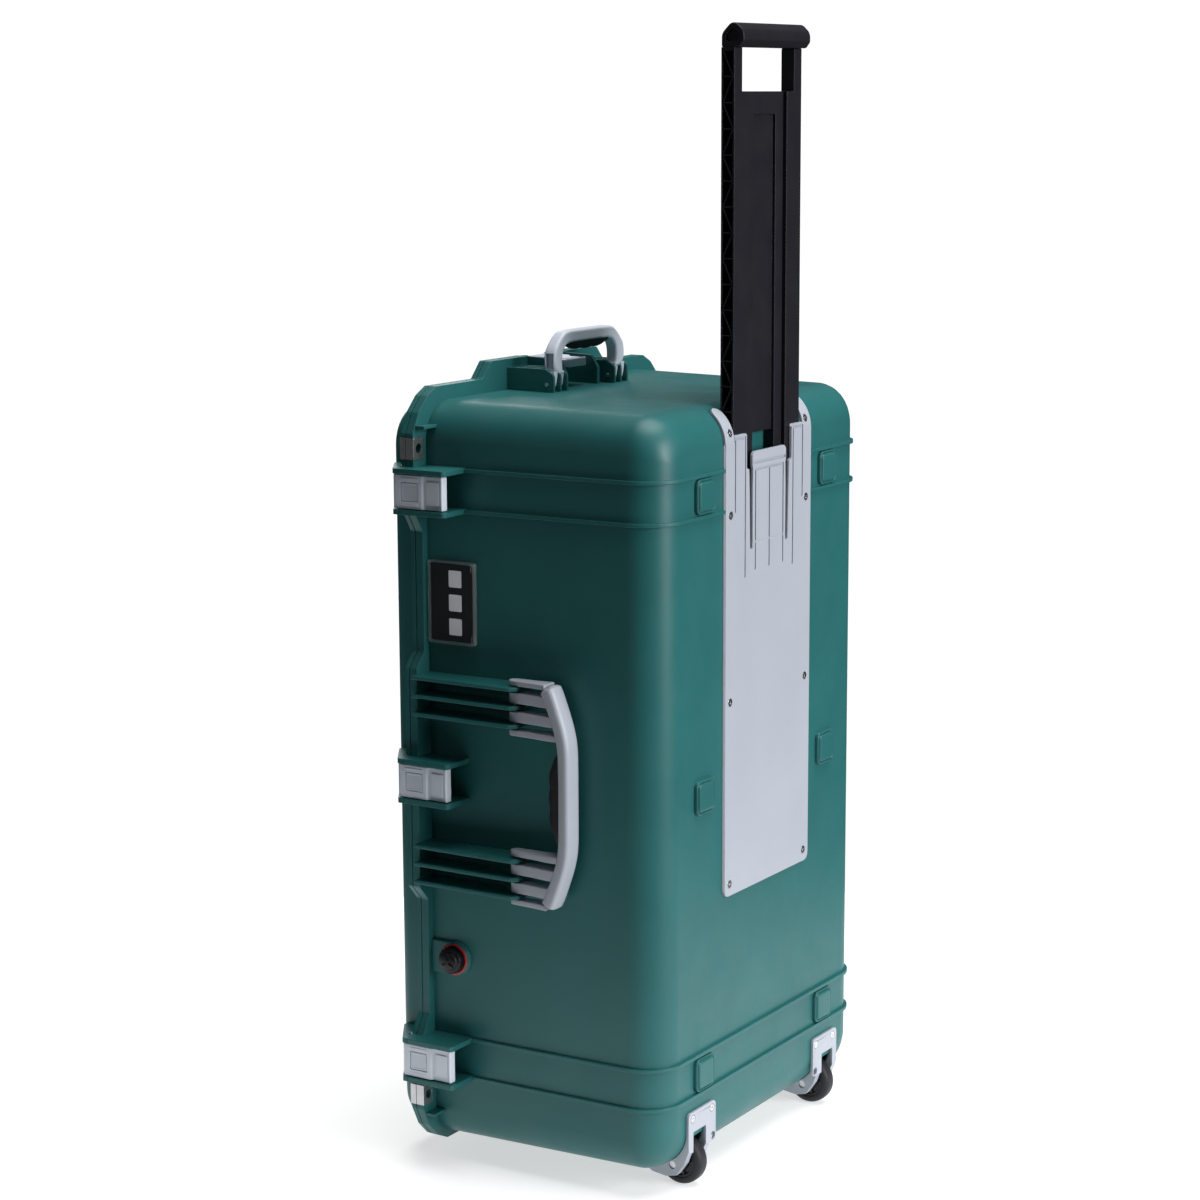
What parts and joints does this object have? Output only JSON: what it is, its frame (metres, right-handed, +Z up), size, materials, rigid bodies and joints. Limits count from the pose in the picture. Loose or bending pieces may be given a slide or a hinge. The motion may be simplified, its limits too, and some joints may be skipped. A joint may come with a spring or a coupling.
{
  "type": "hard equipment case",
  "caption": "Upright hard equipment case with a side-hinged lid, press-button latches, folding carry handles, pull-out trolley handle and wheels.",
  "frame": {"origin": "middle of the footprint, on the floor that the case stands on", "axes": "+Z up along the case's length, +X to the trolley side (the back of the base), -X to the lid, -Y to the long front with the carry handle, +Y to the hinges"},
  "size_m": [0.3215, 0.5015, 1.1445],
  "materials": {
    "shell_plastic": "fine satin grain, dark green",
    "seal_rubber": "smooth",
    "pin_steel": "turned",
    "plate_steel": "brushed",
    "latch_plastic": "satin grey",
    "button_plastic": "satin grey",
    "silver_plastic": "satin silver grey",
    "grip_rubber": "matt, rippled",
    "trolley_plastic": "grained, near black",
    "screw_steel": "bright",
    "tyre_rubber": "matt",
    "hub_plastic": "satin",
    "bearing_steel": "ground",
    "valve_plastic": "satin black",
    "ring_red": "gloss red",
    "membrane_cloth": "white breathable cloth",
    "clear_plastic": "clear",
    "card": "printed black card"
  },
  "bodies": {
    "base": {"base_back": "shell_plastic", "base_side_walls": "shell_plastic", "base_end_walls": "shell_plastic", "base_flange": "shell_plastic", "base_latch_ledges": "shell_plastic", "base_ribs": "shell_plastic", "handle_fins": "shell_plastic", "trolley_channel": "shell_plastic", "base_lock_plates": "plate_steel", "hinge_pins": "pin_steel", "trolley_plate": "silver_plastic", "plate_screws": "screw_steel", "bracket_front": "silver_plastic", "bracket_rear": "silver_plastic", "bracket_screws": "screw_steel", "axle_front": "pin_steel", "axle_rear": "pin_steel", "valve_knob": "valve_plastic", "valve_ring": "ring_red", "valve_membrane": "membrane_cloth", "valve_nut": "valve_plastic", "label_holder": "clear_plastic", "label_card": "card", "main_handle_pins": "pin_steel", "end_handle_pins": "pin_steel"},
    "lid": {"lid_shell": "shell_plastic", "lid_latch_ledges": "shell_plastic", "lid_seal": "seal_rubber", "lid_lock_plates": "plate_steel", "latch_pins": "pin_steel", "latch_springs": "pin_steel"},
    "latch_front_top": {"latch_front_top": "latch_plastic", "button_spring_front_top": "pin_steel"},
    "button_front_top": {"button_front_top": "button_plastic"},
    "latch_front_middle": {"latch_front_middle": "latch_plastic", "button_spring_front_middle": "pin_steel"},
    "button_front_middle": {"button_front_middle": "button_plastic"},
    "latch_front_bottom": {"latch_front_bottom": "latch_plastic", "button_spring_front_bottom": "pin_steel"},
    "button_front_bottom": {"button_front_bottom": "button_plastic"},
    "latch_end_top": {"latch_end_top": "latch_plastic", "button_spring_end_top": "pin_steel"},
    "button_end_top": {"button_end_top": "button_plastic"},
    "latch_end_bottom": {"latch_end_bottom": "latch_plastic", "button_spring_end_bottom": "pin_steel"},
    "button_end_bottom": {"button_end_bottom": "button_plastic"},
    "main_handle": {"main_handle": "silver_plastic", "main_grip": "grip_rubber"},
    "end_handle": {"end_handle": "silver_plastic", "end_grip": "grip_rubber"},
    "trolley": {"trolley_rails": "trolley_plastic", "trolley_web": "trolley_plastic", "trolley_grip": "trolley_plastic"},
    "release_tab": {"trolley_release_tab": "silver_plastic"},
    "wheel_front": {"tyre_front": "tyre_rubber", "hub_front": "hub_plastic", "bearings_front": "bearing_steel"},
    "wheel_rear": {"tyre_rear": "tyre_rubber", "hub_rear": "hub_plastic", "bearings_rear": "bearing_steel"}
  },
  "joints": [
    {"name": "lid_hinge", "type": "hinge", "parent": "base", "child": "lid", "pos_m": [-0.121, 0.243, 0.406], "axis": [0, 0, -1], "range_deg": [0, 105]},
    {"name": "latch_front_top_hinge", "type": "hinge", "parent": "lid", "child": "latch_front_top", "pos_m": [-0.128, -0.236, 0.6965], "axis": [0, 0, -1], "range_deg": [0, 100]},
    {"name": "button_front_top_press", "type": "slide", "parent": "latch_front_top", "child": "button_front_top", "axis": [0, 1, 0], "range_m": [0, 0.002], "stiffness_N_per_m": 400, "springref_m": -0.001},
    {"name": "latch_front_middle_hinge", "type": "hinge", "parent": "lid", "child": "latch_front_middle", "pos_m": [-0.128, -0.236, 0.406], "axis": [0, 0, -1], "range_deg": [0, 100]},
    {"name": "button_front_middle_press", "type": "slide", "parent": "latch_front_middle", "child": "button_front_middle", "axis": [0, 1, 0], "range_m": [0, 0.002], "stiffness_N_per_m": 400, "springref_m": -0.001},
    {"name": "latch_front_bottom_hinge", "type": "hinge", "parent": "lid", "child": "latch_front_bottom", "pos_m": [-0.128, -0.236, 0.1155], "axis": [0, 0, -1], "range_deg": [0, 100]},
    {"name": "button_front_bottom_press", "type": "slide", "parent": "latch_front_bottom", "child": "button_front_bottom", "axis": [0, 1, 0], "range_m": [0, 0.002], "stiffness_N_per_m": 400, "springref_m": -0.001},
    {"name": "latch_end_top_hinge", "type": "hinge", "parent": "lid", "child": "latch_end_top", "pos_m": [-0.128, 0, 0.7965], "axis": [0, -1, 0], "range_deg": [0, 100]},
    {"name": "button_end_top_press", "type": "slide", "parent": "latch_end_top", "child": "button_end_top", "axis": [0, 0, -1], "range_m": [0, 0.002], "stiffness_N_per_m": 400, "springref_m": -0.001},
    {"name": "latch_end_bottom_hinge", "type": "hinge", "parent": "lid", "child": "latch_end_bottom", "pos_m": [-0.128, 0, 0.0155], "axis": [0, 1, 0], "range_deg": [0, 100]},
    {"name": "button_end_bottom_press", "type": "slide", "parent": "latch_end_bottom", "child": "button_end_bottom", "axis": [0, 0, 1], "range_m": [0, 0.002], "stiffness_N_per_m": 400, "springref_m": -0.001},
    {"name": "main_handle_hinge", "type": "hinge", "parent": "base", "child": "main_handle", "pos_m": [0.001, -0.231, 0.406], "axis": [0, 0, -1], "range_deg": [0, 90]},
    {"name": "end_handle_hinge", "type": "hinge", "parent": "base", "child": "end_handle", "pos_m": [-0.064, 0, 0.788], "axis": [0, 1, 0], "range_deg": [0, 85]},
    {"name": "trolley_slide", "type": "slide", "parent": "base", "child": "trolley", "axis": [0, 0, 1], "range_m": [-0.368, 0]},
    {"name": "release_tab_press", "type": "hinge", "parent": "base", "child": "release_tab", "pos_m": [0.1523, 0, 0.6405], "axis": [0, -1, 0], "range_deg": [0, 1.4], "stiffness_Nm_per_rad": 40},
    {"name": "wheel_front_spin", "type": "hinge", "parent": "base", "child": "wheel_front", "pos_m": [0.1348, -0.1368, 0.025], "axis": [0, 1, 0], "continuous": true},
    {"name": "wheel_rear_spin", "type": "hinge", "parent": "base", "child": "wheel_rear", "pos_m": [0.1348, 0.1368, 0.025], "axis": [0, 1, 0], "continuous": true}
  ]
}
